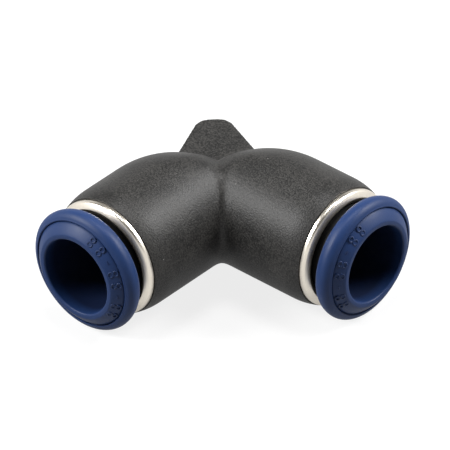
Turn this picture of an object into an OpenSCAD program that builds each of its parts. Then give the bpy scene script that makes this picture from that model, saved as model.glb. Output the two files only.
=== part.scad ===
// Union elbow push-in fitting for plastic air tube, in millimetres.
// The origin is where the axes of its two ports cross.
// Port A points along +X and port B along -Y, and +Z is square to both.

/* [Tube] */
// Outside diameter of the tube that both ports take
tube_d = 8; // [6:0.5:12]
// Clearance on the radius round the tube in its seat
seat_gap = 0.05; // [0.02:0.01:0.15]
// Clearance on the radius round the tube in the release sleeve
sleeve_gap = 0.15; // [0.1:0.01:0.3]

/* [Elbow body] */
// Step on the radius that stops the tube
stop_step = 1.1; // [0.6:0.1:1.6]
// Distance along a port from the other port's tube seat to this port's tube stop
stop_wall = 0.55; // [0.4:0.05:2]
// Length of the seat that holds the end of the tube
seat_len = 3.4; // [2:0.1:6]
// Wall outside the sockets of the two barrels
barrel_wall = 0.95; // [0.7:0.05:2]
// Distance from the corner to the straight part of a barrel
dome_len = 9.5; // [7:0.1:12]
// Radius of the arc that rounds a barrel towards the corner
dome_arc_r = 13; // [12:0.1:20]
// Length of the slight taper at a barrel's mouth
taper_len = 2.2; // [1:0.1:4]
// How much the radius falls over that taper
taper_drop = 0.33; // [0.1:0.01:0.5]
// Wall round the corner of the flow passage
knuckle_wall = 1.15; // [0.8:0.05:2]
// How far each flow passage runs past the crossing of the axes
passage_overrun = 2; // [1:0.1:2.4]

/* [Lug] */
// Thickness of the lug behind the corner
lug_t = 8.2; // [6:0.1:10]
// Half of the lug's width, level with the corner
lug_half_w = 3.8; // [3.5:0.05:5]
// Angle of each side of the lug to its middle plane
lug_angle = 24; // [10:1:25]
// Reach of the lug from the corner
lug_reach = 5.5; // [4:0.1:6]
// Radius of the lug's two tip corners
lug_corner_r = 1.6; // [0.5:0.05:1.7]
// Smallest half width of the flat that is left between those two corners
lug_tip_flat = 0.2; // [0.1:0.05:0.5]

/* [Seal] */
// Length of the seal along the port
seal_len = 2.3; // [1.8:0.1:4]
// Thickness of the seal from the tube's surface to its pocket
seal_wall = 1.3; // [1:0.1:2]
// How far the free lip stands inside the tube's surface
lip_squeeze = 0.15; // [0.05:0.01:0.3]
// Width of the groove between the seal's two lips
seal_groove_w = 0.5; // [0.3:0.05:0.8]
// Depth of that groove
seal_groove_depth = 1.3; // [0.6:0.1:1.6]

/* [Inner rings] */
// Length of the spacer ring that keeps the seal in its pocket
spacer_len = 1; // [0.7:0.1:2]
// Clearance on the radius round the tube in the spacer ring
spacer_gap = 0.12; // [0.05:0.01:0.3]
// Step on the radius from the seal's pocket up to the socket
socket_step = 0.5; // [0.4:0.05:1]
// Length of the claw seat that backs the grab ring
claw_seat_len = 1.1; // [0.9:0.1:2]
// Smallest wall of the claw seat at its edges
claw_seat_edge = 0.75; // [0.5:0.05:1]
// Thickness of the grab ring's spring steel
sheet_t = 0.3; // [0.2:0.05:0.4]
// Running clearance on every side of the grab ring's rim
ring_play = 0.05; // [0.02:0.01:0.1]
// Width of the grab ring's flat rim
rim_w = 0.85; // [0.6:0.05:1.2]
// Length of the teeth along the port
tooth_len = 0.75; // [0.5:0.05:1]
// How far the free teeth stand inside the tube's surface
tooth_bite = 0.15; // [0.05:0.01:0.3]
// Number of teeth
tooth_count = 10; // [6:1:16]
// Width of the slots between teeth
tooth_slot_w = 0.5; // [0.3:0.05:0.8]

/* [Collar] */
// Length of the collar's spigot inside the barrel
spigot_len = 3.7; // [3:0.1:6]
// How far the collar's head stands out of the barrel
head_len = 0.9; // [0.5:0.05:2]
// How far the head's radius stays below the barrel's mouth
head_setback = 0.12; // [0.05:0.01:0.3]
// Rounding of the head's outer edge
head_round = 0.3; // [0.1:0.05:0.4]
// Length of the lip that keeps the release sleeve in
lip_len = 0.45; // [0.3:0.05:1]
// Depth of the flare in front of the lip
flare_len = 0.3; // [0.1:0.05:0.4]
// How much the flare opens the lip, on the radius
flare_w = 0.4; // [0.1:0.05:0.6]

/* [Release sleeve] */
// Travel of the release sleeve
release_travel = 1.1; // [0.5:0.1:2]
// Gap left under the flange when it is pressed in
press_gap = 0.15; // [0.1:0.05:0.5]
// Wall of the sleeve's shank
shank_wall = 0.82; // [0.6:0.02:1.2]
// Running clearance on the radius between the shank and the collar's lip
slide_gap = 0.08; // [0.03:0.01:0.1]
// Height of the bead that stops the sleeve behind the lip
bead_h = 0.28; // [0.15:0.01:0.4]
// Length of that bead
bead_len = 0.8; // [0.5:0.05:1.2]
// Clearance on the radius round the bead
bead_gap = 0.1; // [0.05:0.01:0.2]
// Play between the bead and the lip when the sleeve is out
rest_gap = 0.05; // [0.02:0.01:0.1]
// Length of the tapered nose that pushes the teeth
nose_len = 0.75; // [0.4:0.05:1.2]
// Wall at the tip of the nose
nose_wall = 0.3; // [0.2:0.05:0.5]
// Gap between the nose and the teeth when the sleeve is pressed in
nose_gap = 0.05; // [0.03:0.01:0.2]
// Length of the flange outside the collar, up to its face
flange_len = 2.65; // [2:0.05:4]
// Height of the flange over the shank
flange_h = 1.68; // [1.2:0.02:2.5]
// Radius of the flange's rounded rim
rim_round = 1; // [0.6:0.05:1.2]
// Height of the widest point of the rim over the flange's back
rim_mid = 0.85; // [0.5:0.05:1.2]
// Height of the ridge at the edge of the face
ridge_h = 1.7; // [1.2:0.05:2]
// Distance from the widest point of the rim in to the fine groove, on the radius
groove_in = 0.82; // [0.6:0.02:1.2]
// Width and depth of the fine groove
groove_w = 0.12; // [0.05:0.01:0.2]
// Width of the narrow land round the mouth of the bore
land_w = 0.35; // [0.2:0.05:0.6]
// Chamfer that leads the tube into the bore
lead_in = 0.2; // [0.1:0.05:0.3]

/* [Hidden] */
$fn = 96;
// A cut runs this much past the face that it opens
past = 1;
// A rounded corner stands this much past its flats, so that the two outlines cross
blend = 0.01;

// Turns that lay the +Z axis of a round piece along a port
port_a = [0, 90, 0];
port_b = [90, 0, 0];
// Turn from +X to the direction that points away from both ports
outer_corner = [0, 0, 135];

// Radii, from the tube outwards
tube_r = tube_d / 2;
passage_r = tube_r - stop_step;
seat_r = tube_r + seat_gap;
pocket_r = tube_r + seal_wall;
socket_r = pocket_r + socket_step;
barrel_r = socket_r + barrel_wall;
barrel_mouth_r = barrel_r - taper_drop;
taper_arc_r = (taper_len * taper_len + taper_drop * taper_drop) / (2 * taper_drop);
knuckle_r = passage_r + knuckle_wall;
lug_tip_half_w = lug_half_w - lug_reach * tan(lug_angle);
lug_tip_r = min(lug_corner_r, (lug_tip_half_w - lug_tip_flat) / (1 / cos(lug_angle) - tan(lug_angle)));
bore_r = tube_r + sleeve_gap;
shank_r = bore_r + shank_wall;
lip_r = shank_r + slide_gap;
bead_r = shank_r + bead_h;
collar_bore_r = bead_r + bead_gap;
head_r = barrel_mouth_r - head_setback;
flange_r = shank_r + flange_h;
groove_r = flange_r - groove_in;

// Distances from the corner along a port, from the tube stop outwards
tube_stop = seat_r + stop_wall;
seal_floor = tube_stop + seat_len;
spacer_floor = seal_floor + seal_len;
claw_seat_floor = spacer_floor + spacer_len;
rim_floor = claw_seat_floor + claw_seat_len + ring_play;
rim_top = rim_floor + sheet_t;
collar_floor = rim_top + ring_play;
barrel_end = collar_floor + spigot_len;
collar_face = barrel_end + head_len;
lip_floor = collar_face - flare_len - lip_len;
flange_back = collar_face + release_travel + press_gap;
sleeve_face = flange_back + flange_len;
bead_top = lip_floor - rest_gap;

// The grab ring's teeth lean from the rim towards the corner
rim_inner_r = socket_r - ring_play - rim_w;
tooth_tip_r = tube_r - tooth_bite;
tooth_slope = tooth_len / (rim_inner_r - tooth_tip_r);
nose_tip_r = bore_r + nose_wall;
nose_floor = rim_top - (rim_inner_r - nose_tip_r) * tooth_slope + nose_gap + release_travel;

module to_port(turn) {
    rotate(turn) children();
}

// Half section of a barrel: radius along X, distance from the corner along Y
module barrel_outline() {
    intersection() {
        translate([0, -dome_len]) square([barrel_r, dome_len + barrel_end]);
        union() {
            translate([barrel_r - dome_arc_r, dome_len]) circle(r = dome_arc_r);
            translate([0, dome_len]) square([barrel_r, barrel_end - taper_len - dome_len]);
            translate([barrel_r - taper_arc_r, barrel_end - taper_len]) circle(r = taper_arc_r);
        }
    }
}

module barrel() {
    rotate_extrude() barrel_outline();
}

// Everything that is open inside one barrel, from the flow passage to the mouth
module barrel_cavity() {
    translate([0, 0, -passage_overrun]) cylinder(r = passage_r, h = passage_overrun + tube_stop + past);
    translate([0, 0, tube_stop]) cylinder(r = seat_r, h = seat_len + past);
    translate([0, 0, seal_floor]) cylinder(r = pocket_r, h = seal_len + past);
    translate([0, 0, spacer_floor]) cylinder(r = socket_r, h = barrel_end - spacer_floor + past);
}

// Plan of the lug, pointing along +X from the corner
module lug_outline() {
    centre_x = lug_reach - lug_tip_r;
    centre_y = lug_tip_half_w + lug_tip_r * (tan(lug_angle) - 1 / cos(lug_angle));
    flat_end_x = centre_x + lug_tip_r * sin(lug_angle);
    polygon([
        [-lug_half_w, -lug_half_w],
        [0, -lug_half_w],
        [flat_end_x, flat_end_x * tan(lug_angle) - lug_half_w],
        [centre_x, -centre_y],
        [lug_reach, -centre_y],
        [lug_reach, centre_y],
        [centre_x, centre_y],
        [flat_end_x, lug_half_w - flat_end_x * tan(lug_angle)],
        [0, lug_half_w],
        [-lug_half_w, lug_half_w]
    ]);
    for (side = [-1, 1]) {
        translate([centre_x, side * centre_y]) circle(r = lug_tip_r + blend);
    }
}

module elbow_body() {
    color("dimgray") difference() {
        union() {
            to_port(port_a) barrel();
            to_port(port_b) barrel();
            sphere(r = knuckle_r);
            rotate(outer_corner) translate([0, 0, -lug_t / 2]) linear_extrude(lug_t) lug_outline();
        }
        to_port(port_a) barrel_cavity();
        to_port(port_b) barrel_cavity();
    }
}

// Rubber ring with a static outer lip and a sealing inner lip, open towards the pressure
module seal() {
    groove_r0 = pocket_r - (seal_wall + seal_groove_w) / 2;
    lip_tip_r = tube_r - lip_squeeze;
    color("black") rotate_extrude() difference() {
        polygon([
            [pocket_r, seal_floor],
            [pocket_r, spacer_floor],
            [seat_r + spacer_gap, spacer_floor],
            [seat_r + spacer_gap, seal_floor + seal_groove_depth],
            [lip_tip_r, seal_floor + seal_groove_w],
            [lip_tip_r, seal_floor]
        ]);
        translate([groove_r0, seal_floor - past]) square([seal_groove_w, seal_groove_depth + past]);
    }
}

module spacer_ring() {
    spacer_bore_r = tube_r + spacer_gap;
    color("whitesmoke") rotate_extrude()
        translate([spacer_bore_r, spacer_floor]) square([socket_r - spacer_bore_r, spacer_len]);
}

// The seat's bore opens outwards, so that the teeth can bend back into it
module claw_seat() {
    seat_top = claw_seat_floor + claw_seat_len;
    color("goldenrod") rotate_extrude() polygon([
        [socket_r, claw_seat_floor],
        [socket_r, seat_top],
        [socket_r - claw_seat_edge, seat_top],
        [tube_r + spacer_gap + sheet_t, claw_seat_floor + sheet_t],
        [tube_r + spacer_gap + sheet_t, claw_seat_floor]
    ]);
}

module grab_ring() {
    rim_r = socket_r - ring_play;
    slot_h = tooth_len + sheet_t + past;
    color("silver") difference() {
        rotate_extrude() polygon([
            [rim_r, rim_floor],
            [rim_r, rim_top],
            [rim_inner_r, rim_top],
            [tooth_tip_r, rim_top - tooth_len],
            [tooth_tip_r, rim_floor - tooth_len],
            [rim_inner_r, rim_floor]
        ]);
        for (tooth = [0 : tooth_count - 1]) {
            rotate([0, 0, (tooth + 0.5) * 360 / tooth_count])
                translate([0, -tooth_slot_w / 2, rim_floor - tooth_len - past / 2])
                    cube([rim_inner_r, tooth_slot_w, slot_h]);
        }
    }
}

// Pressed into the barrel: the head covers its end and the lip keeps the sleeve in
module collar() {
    color("lightgray") rotate_extrude() {
        polygon([
            [collar_bore_r, collar_floor],
            [socket_r, collar_floor],
            [socket_r, barrel_end],
            [head_r, barrel_end],
            [head_r, collar_face - head_round],
            [head_r - head_round, collar_face],
            [lip_r + flare_w, collar_face],
            [lip_r, collar_face - flare_len],
            [lip_r, lip_floor],
            [collar_bore_r, lip_floor]
        ]);
        translate([head_r - head_round, collar_face - head_round]) circle(r = head_round);
    }
}

module flange_outline() {
    face_len = flange_len - ridge_h;
    difference() {
        union() {
            polygon([
                [bore_r, 0],
                [groove_r, 0],
                [groove_r, ridge_h],
                [bore_r + lead_in + land_w, flange_len],
                [bore_r + lead_in, flange_len],
                [bore_r, flange_len - lead_in]
            ]);
            intersection() {
                translate([flange_r - rim_round, rim_mid]) circle(r = rim_round);
                translate([groove_r - face_len, 0]) square([flange_r, ridge_h]);
            }
        }
        translate([groove_r - groove_w / 2, ridge_h - groove_w]) square([groove_w, groove_w + past]);
    }
}

module release_sleeve() {
    color("midnightblue") rotate_extrude() {
        polygon([
            [bore_r, nose_floor],
            [nose_tip_r, nose_floor],
            [shank_r, nose_floor + nose_len],
            [shank_r, bead_top - bead_len],
            [bead_r, bead_top - bead_len + bead_h],
            [bead_r, bead_top],
            [shank_r, bead_top],
            [shank_r, flange_back],
            [bore_r, flange_back]
        ]);
        translate([0, flange_back]) flange_outline();
    }
}

module seal_a() { to_port(port_a) seal(); }
module seal_b() { to_port(port_b) seal(); }
module spacer_ring_a() { to_port(port_a) spacer_ring(); }
module spacer_ring_b() { to_port(port_b) spacer_ring(); }
module claw_seat_a() { to_port(port_a) claw_seat(); }
module claw_seat_b() { to_port(port_b) claw_seat(); }
module grab_ring_a() { to_port(port_a) grab_ring(); }
module grab_ring_b() { to_port(port_b) grab_ring(); }
module collar_a() { to_port(port_a) collar(); }
module collar_b() { to_port(port_b) collar(); }
module release_sleeve_a() { to_port(port_a) release_sleeve(); }
module release_sleeve_b() { to_port(port_b) release_sleeve(); }

elbow_body();
seal_a();
spacer_ring_a();
claw_seat_a();
grab_ring_a();
collar_a();
release_sleeve_a();
seal_b();
spacer_ring_b();
claw_seat_b();
grab_ring_b();
collar_b();
release_sleeve_b();
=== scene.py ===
import math

import bmesh
import bpy
from mathutils import Matrix, Vector


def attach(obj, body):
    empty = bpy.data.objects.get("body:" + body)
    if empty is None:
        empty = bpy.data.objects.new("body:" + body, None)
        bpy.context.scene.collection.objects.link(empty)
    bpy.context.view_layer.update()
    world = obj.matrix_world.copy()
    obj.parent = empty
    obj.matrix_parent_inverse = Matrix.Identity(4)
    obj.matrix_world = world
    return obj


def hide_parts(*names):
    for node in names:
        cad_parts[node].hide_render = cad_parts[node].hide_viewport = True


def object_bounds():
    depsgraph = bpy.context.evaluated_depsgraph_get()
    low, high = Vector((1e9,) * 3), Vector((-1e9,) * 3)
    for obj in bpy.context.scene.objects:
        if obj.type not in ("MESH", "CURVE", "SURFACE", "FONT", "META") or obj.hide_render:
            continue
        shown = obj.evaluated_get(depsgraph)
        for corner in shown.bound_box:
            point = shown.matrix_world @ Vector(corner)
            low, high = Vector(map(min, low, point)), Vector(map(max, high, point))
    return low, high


# A push-in elbow for plastic air tube: two ports at a right angle, in metres. Port a points along +X
# and port b along -Y. Sizes below are in millimetres, as a fitting's drawing gives them.
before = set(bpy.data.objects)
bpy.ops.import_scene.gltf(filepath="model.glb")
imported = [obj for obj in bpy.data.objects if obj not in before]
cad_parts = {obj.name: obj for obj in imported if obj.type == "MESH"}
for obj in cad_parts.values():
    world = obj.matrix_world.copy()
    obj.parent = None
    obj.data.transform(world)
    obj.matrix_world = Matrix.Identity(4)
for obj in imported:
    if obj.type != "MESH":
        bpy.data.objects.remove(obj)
cad_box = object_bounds()
MM = 0.001

# Camera: a long lens from far off, raised a little above the two ports, which both open towards it.
# Its place is given from the point where the ports' axes cross.
AZIMUTH = math.radians(41.795)
ELEVATION = math.radians(35.511)
ROLL = math.radians(-0.561)
CAMERA_AWAY = 1000
CAMERA_ASIDE = 0.821
CAMERA_BELOW = -4.153
LENS = 791.93
SENSOR = 36

backward = Vector((
    math.sin(AZIMUTH) * math.cos(ELEVATION),
    -math.cos(AZIMUTH) * math.cos(ELEVATION),
    math.sin(ELEVATION),
))
level = Vector((math.cos(AZIMUTH), math.sin(AZIMUTH), 0))
upward = backward.cross(level)
rightward = level * math.cos(ROLL) + upward * math.sin(ROLL)
upward = upward * math.cos(ROLL) - level * math.sin(ROLL)
camera = bpy.data.objects.new("camera", bpy.data.cameras.new("camera"))
camera.data.type = "PERSP"
camera.data.lens = LENS
camera.data.sensor_width = SENSOR
eye = (backward * CAMERA_AWAY + rightward * CAMERA_ASIDE + upward * CAMERA_BELOW) * MM
camera.matrix_world = Matrix.Translation(eye) @ Matrix((rightward, upward, backward)).transposed().to_4x4()
bpy.context.scene.collection.objects.link(camera)
bpy.context.scene.camera = camera
bpy.context.scene.view_settings.view_transform = "Standard"


# Elbow body: one moulding of glass-filled black plastic with a spark-eroded skin. Its two barrels round off
# towards the heel, where a flat lug stands, and keep their full radius in the crotch. The skin is the
# union of those forms, remeshed so that the creases get a mould's small fillets, then bored from both ends.
BARREL_R = 6.75
BARREL_END = 16.5
MOUTH_DROP = 0.33
MOUTH_TAPER = 2.2
DOME_FROM = 9.5
DOME_ARC_R = 13
CROTCH_FROM = 0.3
CROTCH_FULL = 6.4
CROTCH_SIDE_FROM = -2.5
CROTCH_SIDE_FULL = 1.0
HEEL_BALL_R = 4.0
HEEL_TURN = math.radians(135)
LUG_T = 8.2
LUG_HALF_W = 3.9
LUG_ANGLE = math.radians(23)
LUG_REACH = 5.65
LUG_TIP_R = 1.6
# Each bore's radius and how far out from the crossing of the axes it goes, from the passage to the socket.
BORES = [(2.9, 4.6), (4.05, 8.0), (5.3, 10.3), (5.8, BARREL_END)]
PASSAGE_OVERRUN = 2
# How far past a barrel's mouth its skin runs before the mouth is cut.
PAST_MOUTH = 1.2
SKIN_VOXEL = 0.15
SKIN_SMOOTHING = 3
SMOOTHING_STEP = 0.5
# The crotch's wider fillet: how far from the crossing it begins, its half width, and its smoothing passes.
FILLET_FROM = 5.0
FILLET_HALF_W = 1.2
FILLET_PASSES = 60
SLIVER = 0.0001 * MM
TURN_STEPS = 192
BARREL_STEPS = 160
BORE_STEPS = 144
DOME_STEPS = 48
ROUND_STEPS = 12
SAME_POINT = 0.00001
TURNED_SHARP = math.radians(34)
MOULDED_SHARP = math.radians(40)
BODY_COLOUR = (0.0060, 0.0058, 0.0055, 1)
BODY_WORN = (0.0420, 0.0402, 0.0375, 1)
GRAIN_CONTRAST = 3.6
GRAIN_SHIFT = -1.9
BODY_ROUGH = 0.38
CLOUD_ROUGH = 0.06
GRAIN_ROUGH = 0.12
SPECK_COLOUR = (0.30, 0.29, 0.28, 1)
# Moulding flash: a pale line on the domes just above the lug's flats, from side to side of the lug.
FLASH_COLOUR = (0.11, 0.105, 0.10, 1)
FLASH_LOW = 0.05
FLASH_HIGH = 0.16
FLASH_REACH = 2.7
FLASH_ASIDE = 5.4

# Each port's own axes: towards the other port, square to both ports, and out of the mouth.
PORTS = {
    "a": Matrix(((0, 0, 1), (-1, 0, 0), (0, -1, 0))).to_4x4(),
    "b": Matrix(((1, 0, 0), (0, 0, -1), (0, 1, 0))).to_4x4(),
}


def stood(name, mesh):
    """A new object of this mesh, in the scene."""
    piece = bpy.data.objects.new(name, mesh)
    bpy.context.scene.collection.objects.link(piece)
    return piece


def poured(bm, name):
    """A new object of this bmesh, which is then done with."""
    mesh = bpy.data.meshes.new(name)
    bm.to_mesh(mesh)
    bm.free()
    return stood(name, mesh)


def settled(piece):
    """The mesh that a piece's modifiers make, as new plain data."""
    bpy.context.view_layer.update()
    return bpy.data.meshes.new_from_object(piece.evaluated_get(bpy.context.evaluated_depsgraph_get()))


def smoothed(piece, sharp_from=None):
    """Shades a piece smoothly, apart from edges that turn by more than an angle."""
    piece.data.polygons.foreach_set("use_smooth", [True] * len(piece.data.polygons))
    if sharp_from:
        piece.data.set_sharp_from_angle(angle=sharp_from)


def arc(centre, radius, start, end, steps, flat=1):
    """Points on an arc of a section, from one angle to another, in degrees from the radius direction.
    flat is the arc's size along the port over its size across it."""
    angles = [math.radians(start + (end - start) * i / steps) for i in range(steps + 1)]
    return [(centre[0] + radius * math.cos(a), centre[1] + flat * radius * math.sin(a)) for a in angles]


def turned(name, section, port, steps=TURN_STEPS, widen=None):
    """A solid of revolution about a port from (radius, distance) points that go once round its section.
    Its UV map holds the turn and the way along the section."""
    bm = bmesh.new()
    rings = []
    for radius, reach in section:
        ring = []
        for i in range(steps):
            angle = 2 * math.pi * i / steps
            r = widen(radius, reach, radius * math.cos(angle)) if widen else radius
            ring.append(bm.verts.new((r * math.cos(angle), r * math.sin(angle), reach)))
        rings.append(ring)
    way_along = [0]
    for here, there in zip(section, section[1:] + section[:1]):
        way_along.append(way_along[-1] + math.dist(here, there))
    uv = bm.loops.layers.uv.new("UVMap")
    for k, ring in enumerate(rings):
        following = rings[(k + 1) % len(rings)]
        for i in range(steps):
            j = (i + 1) % steps
            face = bm.faces.new((ring[i], ring[j], following[j], following[i]))
            corners = ((i, k), (i + 1, k), (i + 1, k + 1), (i, k + 1))
            for loop, (u, v) in zip(face.loops, corners):
                loop[uv].uv = (u / steps, way_along[v])
    bmesh.ops.remove_doubles(bm, verts=bm.verts, dist=SAME_POINT)
    bmesh.ops.recalc_face_normals(bm, faces=bm.faces)
    bm.transform(PORTS[port] @ Matrix.Scale(MM, 4))
    piece = poured(bm, name)
    smoothed(piece, TURNED_SHARP)
    return piece


class Wire:
    """One output socket in a node tree, so that the maths of a finish reads as plain expressions."""

    def __init__(self, net, socket):
        self.net = net
        self.socket = socket

    def maths(self, operation, first, second=0):
        return self.net.node("ShaderNodeMath", {"operation": operation}, {0: first, 1: second})

    def __add__(self, other):
        return self.maths("ADD", self, other)

    __radd__ = __add__

    def __sub__(self, other):
        return self.maths("SUBTRACT", self, other)

    def __rsub__(self, other):
        return self.maths("SUBTRACT", other, self)

    def __mul__(self, other):
        return self.maths("MULTIPLY", self, other)

    __rmul__ = __mul__

    def __mod__(self, other):
        return self.maths("MODULO", self, other)

    def __rmod__(self, other):
        return self.maths("MODULO", other, self)

    def __lt__(self, other):
        return self.maths("LESS_THAN", self, other)

    def __gt__(self, other):
        return self.maths("GREATER_THAN", self, other)

    def __abs__(self):
        return self.maths("ABSOLUTE", self)


class Net:
    """A node tree of a material or of a Geometry Nodes group, filled one node at a time."""

    def __init__(self, tree):
        self.tree = tree

    def node(self, kind, settings=None, inputs=None, output=0):
        """A node of this type, with its settings first and then its sockets' values, links or lists of
        links, as the wire from one of its outputs."""
        made = self.tree.nodes.new(kind)
        for name, value in (settings or {}).items():
            setattr(made, name, value)
        for name, value in (inputs or {}).items():
            if isinstance(value, list):
                for wire in value:
                    self.tree.links.new(wire.socket, made.inputs[name])
            elif isinstance(value, Wire):
                self.tree.links.new(value.socket, made.inputs[name])
            else:
                made.inputs[name].default_value = value
        return Wire(self, made.outputs[output])


class Finish(Net):
    """A material with one Principled shader, whose object coordinates come in millimetres."""

    def __init__(self, name, **constants):
        self.material = bpy.data.materials.new(name)
        self.material.use_nodes = True
        super().__init__(self.material.node_tree)
        self.shader = self.tree.nodes["Principled BSDF"]
        for socket, value in constants.items():
            self.shader.inputs[socket.replace("_", " ")].default_value = value
        where = self.node("ShaderNodeTexCoord", output="Object")
        scaled = {"Vector": where, "Scale": 1 / MM}
        self.place = self.node("ShaderNodeVectorMath", {"operation": "SCALE"}, scaled)

    def noise(self, per_mm, detail=2, place=None):
        inputs = {"Vector": place or self.place, "Scale": per_mm, "Detail": detail}
        return self.node("ShaderNodeTexNoise", {}, inputs, "Fac")

    def unrolled(self):
        """Where a turned piece's surface lies: how far round, and how many millimetres along its section."""
        return self.node("ShaderNodeUVMap", {"uv_map": "UVMap"})

    def between(self, factor, first, second):
        """A colour that goes from the first to the second as the factor goes from 0 to 1."""
        inputs = {"Factor": factor, 6: first, 7: second}
        return self.node("ShaderNodeMix", {"data_type": "RGBA"}, inputs, 2)

    def specks(self, per_mm, share, radius):
        """A mask of small round grains: a share of the cells of a grid, each with a dot of this radius."""
        cells = {"Vector": self.place, "Scale": per_mm}
        distance = self.node("ShaderNodeTexVoronoi", {}, cells, "Distance")
        lot = self.node("ShaderNodeTexVoronoi", {}, cells, "Color")
        chance = self.node("ShaderNodeSeparateColor", {}, {"Color": lot})
        return (distance < radius * per_mm) * (chance < share)

    def feed(self, **sockets):
        for name, wire in sockets.items():
            self.tree.links.new(wire.socket, self.shader.inputs[name.replace("_", " ")])

    def bump(self, height, depth):
        """Relief of this depth in millimetres."""
        inputs = {"Height": height, "Distance": depth * MM, "Strength": 1}
        self.feed(Normal=self.node("ShaderNodeBump", {}, inputs, "Normal"))


body_plastic = Finish("body_plastic", Specular_IOR_Level=0.33, IOR=1.5)
grain = body_plastic.noise(per_mm=6.2)
cloud = body_plastic.noise(per_mm=0.35)
speck = body_plastic.specks(per_mm=1.1, share=0.10, radius=0.045)
plastic = body_plastic.between(grain * GRAIN_CONTRAST + cloud + GRAIN_SHIFT, BODY_COLOUR, BODY_WORN)
x, y, z = (
    body_plastic.node("ShaderNodeSeparateXYZ", {}, {"Vector": body_plastic.place}, axis)
    for axis in "XYZ"
)
above_flat = abs(z) - LUG_T / 2
flash_height = (above_flat > FLASH_LOW) * (above_flat < FLASH_HIGH)
flash = flash_height * (x - y < FLASH_REACH) * (abs(x + y) < FLASH_ASIDE)
plastic = body_plastic.between(flash, plastic, FLASH_COLOUR)
body_plastic.feed(
    Base_Color=body_plastic.between(speck, plastic, SPECK_COLOUR),
    Roughness=BODY_ROUGH + CLOUD_ROUGH * cloud + GRAIN_ROUGH * grain,
)
body_plastic.bump(grain, depth=0.035)


def rise(value, start, end):
    """A smooth step from 0 at the start to 1 at the end."""
    t = min(max((value - start) / (end - start), 0), 1)
    return t * t * (3 - 2 * t)


def crotch(radius, reach, towards):
    """A barrel's radius, which grows back to its full size from the heel to the crotch."""
    if reach > DOME_FROM or radius == 0:
        return radius
    share = rise((reach + towards) / math.sqrt(2), CROTCH_FROM, CROTCH_FULL)
    return radius + (BARREL_R - radius) * share * rise(towards, CROTCH_SIDE_FROM, CROTCH_SIDE_FULL)


# The two barrels and the ball that rounds the heel between them.
dome_centre = BARREL_R - DOME_ARC_R
dome_tip = DOME_FROM - math.sqrt(DOME_ARC_R ** 2 - dome_centre ** 2)
dome_turn = math.degrees(math.acos(-dome_centre / DOME_ARC_R))
taper_arc_r = (MOUTH_TAPER ** 2 + MOUTH_DROP ** 2) / (2 * MOUTH_DROP)
taper_from = BARREL_END - MOUTH_TAPER
taper_turn = math.degrees(math.asin((MOUTH_TAPER + PAST_MOUTH) / taper_arc_r))
barrel_section = (
    [(0, dome_tip)]
    + arc((dome_centre, DOME_FROM), DOME_ARC_R, start=-dome_turn, end=0, steps=DOME_STEPS)[1:]
    + arc((BARREL_R - taper_arc_r, taper_from), taper_arc_r, start=0, end=taper_turn, steps=ROUND_STEPS)
    + [(0, BARREL_END + PAST_MOUTH)]
)
skin = bmesh.new()
for port in PORTS:
    barrel = turned("barrel_" + port, barrel_section, port, BARREL_STEPS, crotch)
    skin.from_mesh(barrel.data)
    bpy.data.objects.remove(barrel)
bmesh.ops.create_icosphere(skin, subdivisions=5, radius=HEEL_BALL_R * MM)

# The lug, drawn flat in its own plan and raised to its thickness.
tip_half_w = LUG_HALF_W - LUG_REACH * math.tan(LUG_ANGLE)
tip_x = LUG_REACH - LUG_TIP_R
tip_y = tip_half_w + LUG_TIP_R * (math.tan(LUG_ANGLE) - 1 / math.cos(LUG_ANGLE))
side_turn = 90 - math.degrees(LUG_ANGLE)
lug_plan = (
    [(-LUG_HALF_W / 2, -LUG_HALF_W), (0, -LUG_HALF_W)]
    + arc((tip_x, -tip_y), LUG_TIP_R, start=-side_turn, end=0, steps=ROUND_STEPS)
    + arc((tip_x, tip_y), LUG_TIP_R, start=0, end=side_turn, steps=ROUND_STEPS)
    + [(0, LUG_HALF_W), (-LUG_HALF_W / 2, LUG_HALF_W)]
)
heelward = Matrix.Rotation(HEEL_TURN, 4, "Z") @ Matrix.Scale(MM, 4)
lug_sole = skin.faces.new([skin.verts.new(heelward @ Vector((x, y, -LUG_T / 2))) for x, y in lug_plan])
lug_sides = bmesh.ops.extrude_face_region(skin, geom=[lug_sole], use_keep_orig=True)
lug_top = [v for v in lug_sides["geom"] if isinstance(v, bmesh.types.BMVert)]
bmesh.ops.translate(skin, verts=lug_top, vec=(0, 0, LUG_T * MM))
bmesh.ops.recalc_face_normals(skin, faces=skin.faces)
rough = poured(skin, "elbow_rough")
remesh = rough.modifiers.new("skin", "REMESH")
remesh.mode = "VOXEL"
remesh.voxel_size = SKIN_VOXEL * MM
smooth = rough.modifiers.new("fillets", "SMOOTH")
smooth.factor = SMOOTHING_STEP
smooth.iterations = SKIN_SMOOTHING

# The crotch, where the two barrels run into each other, has a wider fillet than the other creases.
corner_way = Vector((1, -1, 0)).normalized()
across_way = Vector((1, 1, 0)).normalized()
skin = bmesh.new()
skin.from_mesh(settled(rough))
fillet = [
    v for v in skin.verts
    if v.co.dot(corner_way) > FILLET_FROM * MM and abs(v.co.dot(across_way)) < FILLET_HALF_W * MM
]
for _ in range(FILLET_PASSES):
    bmesh.ops.smooth_vert(
        skin, verts=fillet, factor=SMOOTHING_STEP, use_axis_x=True, use_axis_y=True, use_axis_z=True
    )
rough.modifiers.clear()
skin.to_mesh(rough.data)
skin.free()

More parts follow.
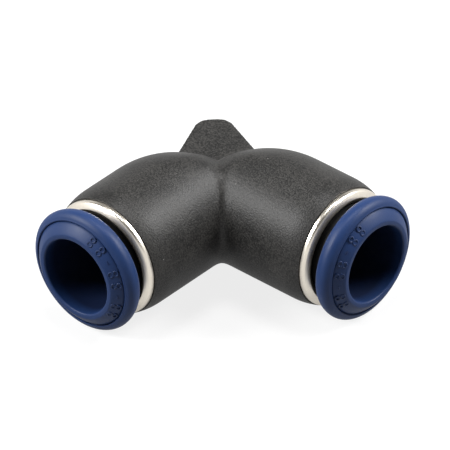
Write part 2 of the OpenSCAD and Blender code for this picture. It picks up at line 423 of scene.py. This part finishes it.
# The bores and the mouth's flat face, cut from each port in turn.
bore_section = [(0, -PASSAGE_OVERRUN)]
bore_start = -PASSAGE_OVERRUN
for radius, reach in BORES:
    bore_section += [(radius, bore_start), (radius, reach)]
    bore_start = reach
clear_r = BARREL_R + PAST_MOUTH
clear_end = BARREL_END + 2 * PAST_MOUTH
bore_section += [(clear_r, BARREL_END), (clear_r, clear_end), (0, clear_end)]
borers = []
for port in PORTS:
    borer = turned("borer_" + port, bore_section, port, BORE_STEPS)
    cut = rough.modifiers.new("bore_" + port, "BOOLEAN")
    cut.operation = "DIFFERENCE"
    cut.solver = "EXACT"
    cut.object = borer
    borers.append(borer)
skin = bmesh.new()
skin.from_mesh(settled(rough))
for spent in borers + [rough]:
    bpy.data.objects.remove(spent)
bmesh.ops.remove_doubles(skin, verts=skin.verts, dist=SLIVER)
bmesh.ops.dissolve_degenerate(skin, edges=skin.edges, dist=SLIVER)
elbow = poured(skin, "elbow_moulding")
smoothed(elbow, MOULDED_SHARP)
elbow.data.materials.append(body_plastic.material)
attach(elbow, "elbow")
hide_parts("elbow_body")


# Seals: one lip seal of black nitrile rubber in the pocket of each barrel, dull and a little bloomed.
# The CAD solids have the right shape, so they only take the rubber's finish.
RUBBER = (0.010, 0.010, 0.011, 1)
RUBBER_BLOOM = (0.030, 0.030, 0.032, 1)
RUBBER_ROUGH = 0.55
BLOOM_ROUGH = 0.25


def dress(stem, finish):
    """Gives the CAD solids of this name, one at each port, their finish."""
    for port in PORTS:
        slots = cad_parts[stem + "_" + port].data.materials
        slots.clear()
        slots.append(finish.material)


seal_rubber = Finish("seal_rubber", IOR=1.5)
bloom = seal_rubber.noise(per_mm=1.4, detail=3)
seal_rubber.feed(
    Base_Color=seal_rubber.between(bloom, RUBBER, RUBBER_BLOOM),
    Roughness=RUBBER_ROUGH + BLOOM_ROUGH * bloom,
)
seal_rubber.bump(seal_rubber.noise(per_mm=9), depth=0.01)
dress("seal", seal_rubber)


# Spacer rings: moulded washers of natural acetal, milky white and slightly translucent. One drops in after
# each seal and keeps it in its pocket.
SPACER = (0.72, 0.71, 0.66, 1)
SPACER_SHADE = (0.62, 0.60, 0.54, 1)
SPACER_ROUGH = 0.32
MILK_ROUGH = 0.12

spacer_plastic = Finish("spacer_plastic", IOR=1.48, Subsurface_Weight=0.1, Subsurface_Scale=0.0005)
milk = spacer_plastic.noise(per_mm=0.8)
spacer_plastic.feed(
    Base_Color=spacer_plastic.between(milk, SPACER, SPACER_SHADE),
    Roughness=SPACER_ROUGH + MILK_ROUGH * milk,
)
spacer_plastic.bump(spacer_plastic.noise(per_mm=6), depth=0.006)
dress("spacer_ring", spacer_plastic)


# Claw seats: turned brass rings with the fine marks of the lathe, which rest on the spacer rings. Each
# backs the teeth of a grab ring when the tube pulls on them.
BRASS = (0.78, 0.55, 0.23, 1)
BRASS_DULL = (0.52, 0.36, 0.16, 1)
BRASS_ROUGH = 0.22
STAIN_ROUGH = 0.25

seat_brass = Finish("seat_brass", Metallic=1)
stain = seat_brass.noise(per_mm=0.9, detail=3)
seat_brass.feed(
    Base_Color=seat_brass.between(stain, BRASS, BRASS_DULL),
    Roughness=BRASS_ROUGH + STAIN_ROUGH * stain,
)
seat_brass.bump(seat_brass.noise(per_mm=12), depth=0.004)
dress("claw_seat", seat_brass)


# Grab rings: stamped and formed from spring steel sheet, a flat rim with teeth that lean in and towards
# the corner. One tooth is modelled and repeated round the rim; each ring turns freely on its seat.
RIM_R = 5.75
RIM_INNER_R = 4.9
RIM_FLOOR = 12.45
SHEET_T = 0.3
TOOTH_TIP_R = 3.85
TOOTH_LEN = 0.75
TOOTH_COUNT = 10
TOOTH_SLOT_W = 0.5
TOOTH_STEPS = 6
SECTOR_WELD = 0.001
STEEL = (0.56, 0.55, 0.53, 1)
STEEL_BLUED = (0.34, 0.33, 0.33, 1)
STEEL_ROUGH = 0.2
TEMPER_ROUGH = 0.2

spring_steel = Finish("spring_steel", Metallic=1)
temper = spring_steel.noise(per_mm=1.6, detail=3)
spring_steel.feed(
    Base_Color=spring_steel.between(temper, STEEL, STEEL_BLUED),
    Roughness=STEEL_ROUGH + TEMPER_ROUGH * temper,
)
spring_steel.bump(spring_steel.noise(per_mm=14), depth=0.003)


class Repeat(Net):
    """A Geometry Nodes group with named inputs that repeats one shape and gives it a finish."""

    def __init__(self, name, **kinds):
        super().__init__(bpy.data.node_groups.new(name, "GeometryNodeTree"))
        self.tree.interface.new_socket("Geometry", in_out="INPUT", socket_type="NodeSocketGeometry")
        self.tree.interface.new_socket("Geometry", in_out="OUTPUT", socket_type="NodeSocketGeometry")
        self.identifiers = {}
        for label, kind in kinds.items():
            made = self.tree.interface.new_socket(label, in_out="INPUT", socket_type="NodeSocket" + kind)
            self.identifiers[label] = made.identifier
        self.entry = self.tree.nodes.new("NodeGroupInput")

    def given(self, label):
        return Wire(self, self.entry.outputs[label])

    def copies(self, shape, **sockets):
        """A copy of the shape on each of Count points, which all lie at the origin."""
        line = self.node("GeometryNodeMeshLine", {}, {"Count": self.given("Count"), "Offset": (0, 0, 0)})
        points = self.node("GeometryNodeMeshToPoints", {}, {"Mesh": line})
        inputs = {"Points": points, "Instance": shape}
        inputs.update((name.replace("_", " "), value) for name, value in sockets.items())
        return self.node("GeometryNodeInstanceOnPoints", {}, inputs)

    def turn(self, axis, angle):
        """A rotation by an angle about one axis."""
        return self.node("ShaderNodeCombineXYZ", {}, {axis: angle})

    def end(self, geometry, finish, weld=0):
        """Makes the copies real, joins those that meet, sets their finish and hands them out."""
        real = self.node("GeometryNodeRealizeInstances", {}, {"Geometry": geometry})
        if weld:
            joined = self.node("GeometryNodeMergeByDistance", {}, {"Geometry": real, "Distance": weld})
            real = self.node("GeometryNodeRealizeInstances", {}, {"Geometry": joined})
        done = self.node("GeometryNodeSetMaterial", {}, {"Geometry": real, "Material": finish.material})
        way_out = self.tree.nodes.new("NodeGroupOutput")
        self.tree.links.new(done.socket, way_out.inputs["Geometry"])

    def apply(self, piece, name, **values):
        """The plain mesh that the group makes from a piece, as a new object in the piece's stead."""
        modifier = piece.modifiers.new(self.tree.name, "NODES")
        modifier.node_group = self.tree
        for label, value in values.items():
            modifier[self.identifiers[label]] = value
        made = stood(name, settled(piece))
        bpy.data.objects.remove(piece)
        return made


# Copies of one sector round the rim, each a step further, joined at their ends.
around = Repeat("round_the_rim", Count="Int", Step="Float")
sector_turn = around.turn("Z", around.node("GeometryNodeInputIndex") * around.given("Step"))
around.end(around.copies(around.given("Geometry"), Rotation=sector_turn), spring_steel, SECTOR_WELD)


def row(bm, radius, height, angles):
    return [bm.verts.new((radius * math.cos(a), radius * math.sin(a), height)) for a in angles]


def strip(bm, near, far):
    for i in range(len(near) - 1):
        bm.faces.new((near[i], near[i + 1], far[i + 1], far[i]))


# One sector, open at its two ends, where the next sectors join it: a piece of rim with one tooth.
sector_half = math.pi / TOOTH_COUNT
root_half = sector_half - math.asin(TOOTH_SLOT_W / 2 / RIM_INNER_R)
tip_half = sector_half - math.asin(TOOTH_SLOT_W / 2 / TOOTH_TIP_R)
shares = [2 * i / TOOTH_STEPS - 1 for i in range(TOOTH_STEPS + 1)]
rim_angles = [-sector_half] + [root_half * share for share in shares] + [sector_half]
tip_angles = [tip_half * share for share in shares]
rim_top = RIM_FLOOR + SHEET_T

for port in PORTS:
    bm = bmesh.new()
    rim_in_low = row(bm, RIM_INNER_R, RIM_FLOOR, rim_angles)
    rim_in_high = row(bm, RIM_INNER_R, rim_top, rim_angles)
    rim_out_low = row(bm, RIM_R, RIM_FLOOR, rim_angles)
    rim_out_high = row(bm, RIM_R, rim_top, rim_angles)
    tip_low = row(bm, TOOTH_TIP_R, RIM_FLOOR - TOOTH_LEN, tip_angles)
    tip_high = row(bm, TOOTH_TIP_R, rim_top - TOOTH_LEN, tip_angles)
    root_low = rim_in_low[1:-1]
    root_high = rim_in_high[1:-1]
    strip(bm, rim_in_high, rim_out_high)
    strip(bm, rim_out_high, rim_out_low)
    strip(bm, rim_out_low, rim_in_low)
    strip(bm, root_low, tip_low)
    strip(bm, tip_low, tip_high)
    strip(bm, tip_high, root_high)
    for slot_wall in (slice(0, 2), slice(-2, None)):
        strip(bm, rim_in_low[slot_wall], rim_in_high[slot_wall])
    for side in (0, -1):
        bm.faces.new((root_low[side], root_high[side], tip_high[side], tip_low[side]))
    sector = poured(bm, "sector")
    ring = around.apply(sector, "grab_ring_teeth_" + port, Count=TOOTH_COUNT, Step=2 * sector_half)
    bm = bmesh.new()
    bm.from_mesh(ring.data)
    bmesh.ops.recalc_face_normals(bm, faces=bm.faces)
    bm.transform(PORTS[port] @ Matrix.Scale(MM, 4))
    bm.to_mesh(ring.data)
    bm.free()
    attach(ring, "grip_" + port)
    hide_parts("grab_ring_" + port)


# Collars: brass, turned and nickel plated, pressed into each barrel. The rounded head covers the mouth,
# and the lip inside it, flared at the front, keeps the release sleeve in.
SOCKET_R = 5.8
COLLAR_FLOOR = 12.8
COLLAR_FACE = 17.4
HEAD_R = 6.3
HEAD_EDGE_ROUND = 0.06
HEAD_ROUND = 0.42
HEAD_ROUND_TURN = 55
HEAD_ROUND_DROP = 0.6
COLLAR_BORE_R = 5.35
LIP_R = 5.05
LIP_FLOOR = 16.65
FLARE_R = 5.48
FLARE_ROUND = 0.12
FLARE_FROM = 58
FLARE_TO = 145
FLARE_DEPTH = 0.36
NICKEL = (0.92, 0.86, 0.76, 1)
NICKEL_DULL = (0.76, 0.70, 0.60, 1)
NICKEL_ROUGH = 0.20
SMEAR_ROUGH = 0.12
LATHE_ROUGH = 0.08
# Lathe marks run round the piece: few to a turn, and many to a millimetre along the section.
LATHE_SCALE = (3, 26, 1)
SMEAR_SHARE = 0.7

nickel_plate = Finish("nickel_plate", Metallic=1)
lathe_inputs = {"Vector": nickel_plate.unrolled(), "Scale": LATHE_SCALE}
lathe_place = nickel_plate.node("ShaderNodeMapping", {}, lathe_inputs)
lathe_marks = nickel_plate.noise(per_mm=1, detail=3, place=lathe_place)
smear = nickel_plate.noise(per_mm=0.7, detail=3)
dulling = smear * SMEAR_SHARE + lathe_marks * (1 - SMEAR_SHARE)
nickel_plate.feed(
    Base_Color=nickel_plate.between(dulling, NICKEL, NICKEL_DULL),
    Roughness=NICKEL_ROUGH + SMEAR_ROUGH * smear + LATHE_ROUGH * lathe_marks,
)
nickel_plate.bump(lathe_marks, depth=0.004)

edge = (HEAD_R - HEAD_EDGE_ROUND, BARREL_END + HEAD_EDGE_ROUND)
shoulder = (HEAD_R - HEAD_ROUND, COLLAR_FACE - HEAD_ROUND_DROP)
flare = (FLARE_R + FLARE_ROUND, COLLAR_FACE - FLARE_ROUND)
collar_section = (
    [(COLLAR_BORE_R, COLLAR_FLOOR), (SOCKET_R, COLLAR_FLOOR), (SOCKET_R, BARREL_END)]
    + arc(edge, HEAD_EDGE_ROUND, start=-90, end=0, steps=4)
    + arc(shoulder, HEAD_ROUND, start=0, end=HEAD_ROUND_TURN, steps=10)
    + arc(flare, FLARE_ROUND, start=FLARE_FROM, end=FLARE_TO, steps=8)
    + [(LIP_R, COLLAR_FACE - FLARE_DEPTH), (LIP_R, LIP_FLOOR), (COLLAR_BORE_R, LIP_FLOOR)]
)
for port in PORTS:
    collar = turned("collar_turned_" + port, collar_section, port)
    collar.data.materials.append(nickel_plate.material)
    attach(collar, "elbow")
    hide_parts("collar_" + port)


# Release sleeves: moulded in satin navy acetal. The nose inside bends the teeth open, the bead stops the
# sleeve behind the collar's lip, and the flange outside has a rounded rim, a fine groove and a sloping face.
BORE_R = 4.15
NOSE_FLOOR = 13.5786
NOSE_R = 4.45
NOSE_LEN = 0.75
SHANK_R = 4.97
SHANK_ROUND = 0.1
BEAD_R = 5.25
BEAD_TOP = 16.6
BEAD_LEN = 0.8
BEAD_TAPER = 0.26
BEAD_DRAFT = 0.03
BEAD_ROUND = 0.08
FLANGE_BACK = 18.65
FLANGE_R = 6.64
FLANGE_WIDEST = 19.6
FLANK_BACK_ARC = 1.43
FLANK_BACK_TURN = 37
FLANK_FRONT_ARC = 1.08
FLANK_FRONT_TURN = 58
FLANK_FLATNESS = 0.86
BACK_R = 6.32
BACK_ROUND = 0.12
RIDGE_R = 6.04
RIDGE_TOP = 20.47
RIDGE_ROUND = 0.12
GROOVE_R = 5.80
GROOVE_FLOOR = 20.22
GROOVE_HALF_W = 0.07
GROOVE_OUTER_RISE = 0.05
GROOVE_INNER_RISE = 0.06
# The sloping face, as points from the groove's inner edge to where it rounds into the mouth.
FACE_SLOPE = [(5.71, 20.40), (5.60, 20.52), (5.28, 20.86), (4.95, 21.10)]
FACE_TOP = 21.3
FACE_ROUND = 0.34
MOUTH_ROUND = 0.22
NAVY = (0.0095, 0.0285, 0.1000, 1)
NAVY_LIT = (0.0135, 0.0380, 0.1280, 1)
# Painted shade: a darker navy inside the bore, which lies in shadow.
NAVY_BORE_SHADE = (0.0035, 0.0090, 0.0330, 1)
# Painted shade: near black on the shank and the flange's back, in the gap behind the flange.
NAVY_PAINTED_SHADE = (0.0040, 0.0042, 0.0050, 1)
# How far short of its back edge the flange's back is painted as shade, and how far the bore's painted shade
# takes to fade in.
SHADE_SHORT = 0.3
BORE_SHADE_FADE = 1.2
SLEEVE_ROUGH = 0.40
FLOW_ROUGH = 0.10
SATIN_ROUGH = 0.08
FLOW_SHARE = 0.6

back = (BACK_R - BACK_ROUND, FLANGE_BACK + BACK_ROUND)
ridge = (RIDGE_R - RIDGE_ROUND, RIDGE_TOP - RIDGE_ROUND)
brow = (BORE_R + 2 * MOUTH_ROUND, FACE_TOP - FACE_ROUND)
mouth = (BORE_R + MOUTH_ROUND, FACE_TOP - MOUTH_ROUND)
shank = [
    (BORE_R, NOSE_FLOOR),
    (NOSE_R, NOSE_FLOOR),
    (SHANK_R, NOSE_FLOOR + NOSE_LEN),
    (SHANK_R, BEAD_TOP - BEAD_LEN),
    (BEAD_R - BEAD_DRAFT, BEAD_TOP - BEAD_LEN + BEAD_TAPER),
    (BEAD_R, BEAD_TOP - BEAD_ROUND),
    (BEAD_R - BEAD_ROUND, BEAD_TOP),
    (SHANK_R, BEAD_TOP),
    (SHANK_R, FLANGE_BACK - SHANK_ROUND),
    (SHANK_R + SHANK_ROUND, FLANGE_BACK),
]
flank_behind = (FLANGE_R - FLANK_BACK_ARC, FLANGE_WIDEST)
flank_before = (FLANGE_R - FLANK_FRONT_ARC, FLANGE_WIDEST)
groove = [
    (GROOVE_R + GROOVE_HALF_W, GROOVE_FLOOR + GROOVE_OUTER_RISE),
    (GROOVE_R, GROOVE_FLOOR),
    (GROOVE_R - GROOVE_HALF_W, GROOVE_FLOOR + GROOVE_INNER_RISE),
]
sleeve_section = (
    shank
    + arc(back, BACK_ROUND, start=-90, end=-25, steps=4)
    + arc(flank_behind, FLANK_BACK_ARC, start=-FLANK_BACK_TURN, end=0, steps=10)
    + arc(flank_before, FLANK_FRONT_ARC, start=0, end=FLANK_FRONT_TURN, steps=14, flat=FLANK_FLATNESS)[1:]
    + arc(ridge, RIDGE_ROUND, start=40, end=125, steps=6)
    + groove
    + FACE_SLOPE
    + arc(brow, FACE_ROUND, start=62, end=90, steps=4)
    + arc(mouth, MOUTH_ROUND, start=90, end=180, steps=8)
)


def length(section):
    return sum(math.dist(here, there) for here, there in zip(section, section[1:]))


# Along the section, the shank and the flange's back are painted nearly black, as shade in the gap behind the
# flange, and past the mouth the bore is painted darker, as shade inside it.
painted_shade_to = length(shank) + BACK_R - SHANK_R - SHADE_SHORT
bore_shade_from = length(sleeve_section)

sleeve_plastic = Finish("sleeve_plastic", Specular_IOR_Level=0.28, IOR=1.48)
satin = sleeve_plastic.noise(per_mm=4.5, detail=3)
flow = sleeve_plastic.noise(per_mm=0.5)
dust = sleeve_plastic.specks(per_mm=1.3, share=0.07, radius=0.04)
along = sleeve_plastic.node("ShaderNodeSeparateXYZ", {}, {"Vector": sleeve_plastic.unrolled()}, "Y")
fade = {"Value": along, "From Min": bore_shade_from, "From Max": bore_shade_from + BORE_SHADE_FADE}
in_bore_shade = sleeve_plastic.node("ShaderNodeMapRange", {}, fade)
navy = sleeve_plastic.between(flow * FLOW_SHARE + satin * (1 - FLOW_SHARE), NAVY, NAVY_LIT)
# Painted shade: the bore turns darker navy past the mouth.
navy = sleeve_plastic.between(in_bore_shade, navy, NAVY_BORE_SHADE)
# Painted shade: the shank and the flange's back turn near black.
navy = sleeve_plastic.between(along < painted_shade_to, navy, NAVY_PAINTED_SHADE)
sleeve_plastic.feed(
    Base_Color=sleeve_plastic.between(dust, navy, SPECK_COLOUR),
    Roughness=SLEEVE_ROUGH + FLOW_ROUGH * flow + SATIN_ROUGH * satin,
)
sleeve_plastic.bump(satin, depth=0.010)

for port in PORTS:
    sleeve = turned("release_sleeve_moulding_" + port, sleeve_section, port)
    sleeve.data.materials.append(sleeve_plastic.material)
    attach(sleeve, "release_" + port)
    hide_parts("release_sleeve_" + port)


# Figures: the tube's size in plain numerals, raised in the mould on each sleeve's face, with dashes between,
# in a row that follows the face's slope. The numeral is two stacked rings of one stroke. They are the
# sleeve's plastic, painted darker overall as shade on the raised strokes, mottled back towards the sleeve's
# navy.
FIGURE_R = 5.25
FIGURE_D = 20.85
FIGURE_SLOPE = math.radians(-37)
FIGURE_STEP = math.radians(14.3)
FIGURE_COUNT = 8
FIGURE_FIRST = math.radians(69)
# The last of every three places holds a dash.
DASH_EVERY = 3
DASH_HALF = 0.16
STROKE_R = 0.095
STROKE_SIDES = 8
LOOP_R = 0.24
LOOP_STEPS = 20
LOOP_STRETCH = 1.12
WAIST = 0.27
# Painted shade: the figures' darker navy stands in for the shadow along their raised strokes.
FIGURE_NAVY_SHADED = (0.0060, 0.0180, 0.0640, 1)
FIGURE_ROUGH = 0.40
STROKE_ROUGH = 0.12
# Which way up the figures stand: port b's second axis goes up and port a's goes down.
UP = {"a": -1, "b": 1}

figure_plastic = Finish("figure_plastic", Specular_IOR_Level=0.28, IOR=1.48)
stroke_satin = figure_plastic.noise(per_mm=4.5, detail=3)
figure_plastic.feed(
    Base_Color=figure_plastic.between(stroke_satin, FIGURE_NAVY_SHADED, NAVY),
    Roughness=FIGURE_ROUGH + STROKE_ROUGH * stroke_satin,
)
figure_plastic.bump(stroke_satin, depth=0.006)

figures = Repeat("figures_on_face", Count="Int", Step="Float", Stroke="Float", Loop="Float")
pen_inputs = {"Resolution": STROKE_SIDES, "Radius": figures.given("Stroke")}
pen = figures.node("GeometryNodeCurvePrimitiveCircle", {}, pen_inputs)
loops = []
for side in (1, -1):
    loop_inputs = {"Resolution": LOOP_STEPS, "Radius": figures.given("Loop")}
    loop = figures.node("GeometryNodeCurvePrimitiveCircle", {}, loop_inputs)
    stretch = {"Geometry": loop, "Translation": (side * WAIST, 0, 0), "Scale": (1, LOOP_STRETCH, 1)}
    stretched = figures.node("GeometryNodeTransform", {}, stretch)
    loops.append(figures.node("GeometryNodeCurveToMesh", {}, {"Curve": stretched, "Profile Curve": pen}))
eight = figures.node("GeometryNodeJoinGeometry", {}, {"Geometry": loops})
dash_ends = {"Start": (0, -DASH_HALF, 0), "End": (0, DASH_HALF, 0)}
dash_line = figures.node("GeometryNodeCurvePrimitiveLine", {}, dash_ends)
dash_inputs = {"Curve": dash_line, "Profile Curve": pen, "Fill Caps": True}
dash = figures.node("GeometryNodeCurveToMesh", {}, dash_inputs)
signs = figures.node("GeometryNodeGeometryToInstance", {}, {"Geometry": [dash, eight]})
number = figures.node("GeometryNodeInputIndex")
is_dash = number % DASH_EVERY > DASH_EVERY - 1.5
placed = figures.copies(signs, Pick_Instance=True, Instance_Index=is_dash)
lean = {"Instances": placed, "Rotation": figures.turn("Y", -FIGURE_SLOPE)}
leaning = figures.node("GeometryNodeRotateInstances", {}, lean)
move = {"Instances": leaning, "Translation": (FIGURE_R, 0, FIGURE_D), "Local Space": False}
moved = figures.node("GeometryNodeTranslateInstances", {}, move)
spin = {
    "Instances": moved,
    "Rotation": figures.turn("Z", number * figures.given("Step")),
    "Pivot Point": (0, 0, 0),
    "Local Space": False,
}
figures.end(figures.node("GeometryNodeRotateInstances", {}, spin), figure_plastic)

for port in PORTS:
    raised = figures.apply(
        stood("blank", bpy.data.meshes.new("blank")),
        "size_figures_" + port,
        Count=FIGURE_COUNT,
        Step=-UP[port] * FIGURE_STEP,
        Stroke=STROKE_R,
        Loop=LOOP_R,
    )
    start = Matrix.Rotation(UP[port] * FIGURE_FIRST, 4, "Z")
    raised.data.transform(PORTS[port] @ Matrix.Scale(MM, 4) @ start)
    smoothed(raised)
    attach(raised, "release_" + port)


# Studio: a pale sweep under the elbow and soft boxes over it. The sweep's own glow makes it white to the
# eye and in the gloss, and its matt part keeps the shadow.
FLOOR_HALF = 2.0
FLOOR_GLOW = 0.82
FLOOR_MATT = (0.2, 0.2, 0.2, 1)
# How much of the floor's glow shows in gloss, because the floor round the elbow lies in its shade.
FLOOR_IN_GLOSS = 0.58
BLACK = (0, 0, 0, 1)
WHITE = (1, 1, 1, 1)
WORLD_LEVEL = 0.05
# The backdrop's height, as the sine of the angle above the floor: white up to the first, gone at the second.
BACKDROP_FULL = 0.15
BACKDROP_TOP = 0.7
# Where each soft box stands, as seen by the camera: to the right, up and back towards the eye.
SOFT_BOXES = {
    "left": {"aside": -0.80, "above": 0.42, "nearer": 0.41, "size": 0.24, "power": 4.4},
    "right": {"aside": 0.72, "above": 0.64, "nearer": 0.25, "size": 0.24, "power": 4.4},
    "top": {"aside": 0.0, "above": 0.90, "nearer": 0.43, "size": 0.20, "power": 2.0},
}
BOX_AWAY = 0.6


def backdrop_rays(net, in_gloss):
    """1 for rays that show the backdrop straight to the camera, and in_gloss for those that show it off
    gloss or through something clear."""
    path = net.tree.nodes.new("ShaderNodeLightPath")
    kinds = ("Is Camera Ray", "Is Glossy Ray", "Is Transmission Ray")
    straight, off_gloss, through = (Wire(net, path.outputs[kind]) for kind in kinds)
    return straight + (off_gloss + through) * in_gloss


low = cad_box[0][2]
corners = [(x * FLOOR_HALF, y * FLOOR_HALF, low) for x, y in ((-1, -1), (1, -1), (1, 1), (-1, 1))]
floor_mesh = bpy.data.meshes.new("sweep")
floor_mesh.from_pydata(corners, [], [(0, 1, 2, 3)])
floor = stood("sweep", floor_mesh)
sweep = Finish("sweep", Roughness=1.0, Specular_IOR_Level=0.0, Base_Color=FLOOR_MATT, Emission_Strength=1.0)
glow = backdrop_rays(sweep, FLOOR_IN_GLOSS) * FLOOR_GLOW
sweep.feed(Emission_Color=sweep.between(glow, BLACK, WHITE))
floor.data.materials.append(sweep.material)

world = bpy.data.worlds.new("studio")
bpy.context.scene.world = world
world.use_nodes = True
sky = Net(world.node_tree)
direction = sky.node("ShaderNodeTexCoord", output="Generated")
height = sky.node("ShaderNodeSeparateXYZ", {}, {"Vector": direction}, "Z")
fall = {"Value": height, "From Min": BACKDROP_FULL, "From Max": BACKDROP_TOP, "To Min": 1, "To Max": 0}
backdrop = sky.node("ShaderNodeMapRange", {"interpolation_type": "SMOOTHSTEP"}, fall)
strength = WORLD_LEVEL + (1 - WORLD_LEVEL) * backdrop_rays(sky, backdrop)
background = world.node_tree.nodes["Background"]
background.inputs["Color"].default_value = WHITE
world.node_tree.links.new(strength.socket, background.inputs["Strength"])

for name, box in SOFT_BOXES.items():
    lamp = bpy.data.lights.new("soft_box_" + name, "AREA")
    lamp.shape = "SQUARE"
    lamp.size = box["size"]
    lamp.energy = box["power"]
    aim = rightward * box["aside"] + upward * box["above"] + backward * box["nearer"]
    stand = stood("soft_box_" + name, lamp)
    stand.location = aim.normalized() * BOX_AWAY
    stand.rotation_euler = (-aim).to_track_quat("-Z", "Y").to_euler()
